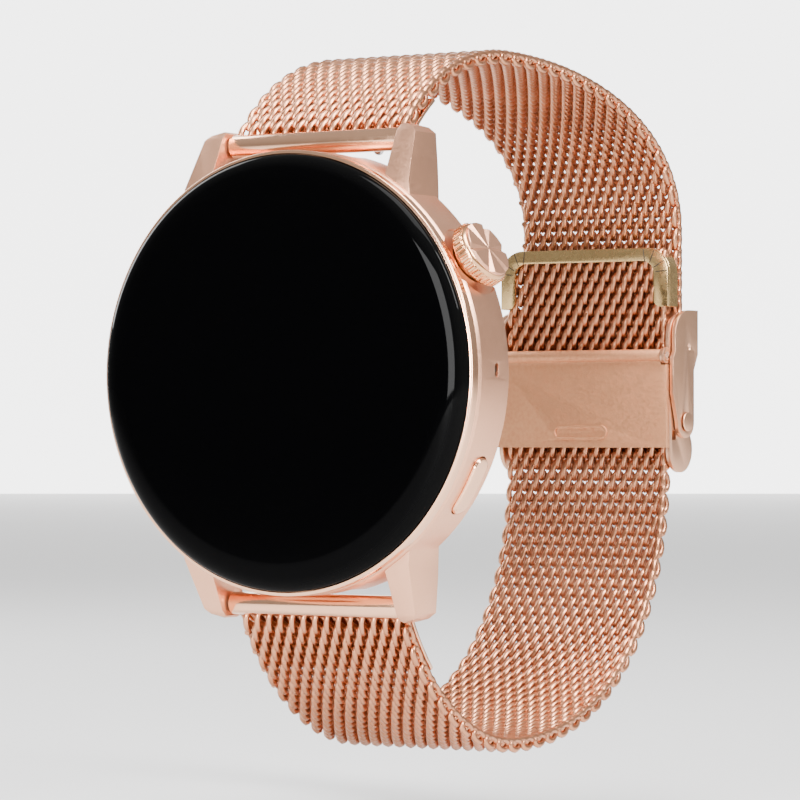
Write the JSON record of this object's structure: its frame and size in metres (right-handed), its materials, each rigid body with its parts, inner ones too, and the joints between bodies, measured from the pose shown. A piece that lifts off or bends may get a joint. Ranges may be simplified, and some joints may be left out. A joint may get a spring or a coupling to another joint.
{
  "type": "smartwatch",
  "caption": "Round smartwatch with a domed black display, crown and side button, on a woven metal wire band with a folding clasp and quick-release end bars.",
  "frame": {"origin": "centre of the rear sensor window, on the face that meets the wrist", "axes": "+X towards 3 o'clock and the crown's side, +Z towards 12 o'clock, and the display faces -Y, so the band loops out along +Y"},
  "size_m": [0.0424, 0.0619, 0.0689],
  "materials": {
    "rose_satin_metal": "fine satin, rose gold coated",
    "rose_polished_metal": "polished, rose gold coated",
    "rose_brushed_metal": "brushed across, rose gold coated",
    "rose_mesh_wire": "drawn wire, rose gold coated",
    "gold_tip_metal": "polished, yellow gold coated",
    "display_glass": "polished, black backed",
    "sensor_glass": "polished, dark tint",
    "display_black": "gloss",
    "rear_plastic": "fine matt",
    "grey_plastic": "matt",
    "black_rubber": "matt",
    "bare_steel": "turned",
    "circuit_board": "solder resist",
    "amber_film": "film",
    "battery_foil": "foil",
    "coil_copper": "enamelled wire"
  },
  "bodies": {
    "case": {"case_middle": "rose_satin_metal", "bezel_ring": "rose_polished_metal", "cover_glass": "display_glass", "glass_gasket": "black_rubber", "display_panel": "display_black", "display_bracket": "bare_steel", "display_flex": "amber_film", "main_board": "circuit_board", "board_shield": "bare_steel", "battery": "battery_foil", "vibration_motor": "bare_steel", "microphone": "bare_steel", "antenna_frame": "grey_plastic", "rear_case": "rear_plastic", "rear_gasket": "black_rubber", "sensor_window": "sensor_glass", "sensor_board": "circuit_board", "charging_coil": "coil_copper", "rear_screws": "bare_steel", "crown_tube": "bare_steel", "crown_encoder": "grey_plastic", "button_switch": "grey_plastic"},
    "crown_carrier": {"crown_plunger": "grey_plastic"},
    "crown": {"crown_stem": "bare_steel", "crown_seal": "black_rubber", "crown_knob": "rose_polished_metal", "crown_cap": "rose_polished_metal"},
    "button": {"side_button": "rose_polished_metal", "button_stem": "bare_steel"},
    "upper_strap": {"upper_end_bar": "rose_polished_metal", "upper_strap_mesh": "rose_mesh_wire", "hook_fitting": "rose_brushed_metal", "upper_spring_bar": "bare_steel"},
    "upper_release": {"upper_release_pin": "bare_steel"},
    "lower_strap": {"lower_end_bar": "rose_polished_metal", "lower_strap_mesh": "rose_mesh_wire", "strap_tip": "gold_tip_metal", "lower_spring_bar": "bare_steel", "clasp_frame": "rose_brushed_metal", "hook_pin": "bare_steel", "cover_rivets": "rose_brushed_metal", "lock_pin": "bare_steel"},
    "lower_release": {"lower_release_pin": "bare_steel"},
    "cover": {"clasp_cover": "rose_brushed_metal"},
    "lock": {"lock_plate": "rose_brushed_metal"}
  },
  "joints": [
    {"name": "band_open", "type": "hinge", "parent": "case", "child": "upper_strap", "pos_m": [0, -0.0032, 0.022], "axis": [1, 0, 0], "range_deg": [0, 50]},
    {"name": "lower_swing", "type": "hinge", "parent": "case", "child": "lower_strap", "pos_m": [0, -0.0032, -0.022], "axis": [-1, 0, 0], "range_deg": [0, 12.5]},
    {"name": "cover_open", "type": "hinge", "parent": "lower_strap", "child": "cover", "pos_m": [0, 0.049, -0.0044], "axis": [-1, 0, 0], "range_deg": [0, 105]},
    {"name": "lock_flip", "type": "hinge", "parent": "lower_strap", "child": "lock", "pos_m": [0, 0.04595, 0.0025], "axis": [-1, 0, 0], "range_deg": [0, 80]},
    {"name": "crown_press", "type": "slide", "parent": "case", "child": "crown_carrier", "axis": [-0.8704, 0, -0.4924], "range_m": [0, 0.0005], "stiffness_N_per_m": 800, "springref_m": -0.001},
    {"name": "crown_spin", "type": "hinge", "parent": "crown_carrier", "child": "crown", "pos_m": [0.01828, -0.0049, 0.01034], "axis": [0.8704, 0, 0.4924], "continuous": true},
    {"name": "button_press", "type": "slide", "parent": "case", "child": "button", "axis": [-0.8634, 0, 0.5045], "range_m": [0, 0.0004], "stiffness_N_per_m": 800, "springref_m": -0.001},
    {"name": "upper_release", "type": "slide", "parent": "upper_strap", "child": "upper_release", "axis": [-1, 0, 0], "range_m": [0, 0.0011], "stiffness_N_per_m": 500, "springref_m": -0.001},
    {"name": "lower_release", "type": "slide", "parent": "lower_strap", "child": "lower_release", "axis": [1, 0, 0], "range_m": [0, 0.0011], "stiffness_N_per_m": 500, "springref_m": -0.001}
  ],
  "couplings": [
    {"joint": "lower_swing", "follows": "band_open", "ratio": 0.25},
    {"joint": "cover_open", "follows": "band_open", "ratio": 2.1}
  ]
}
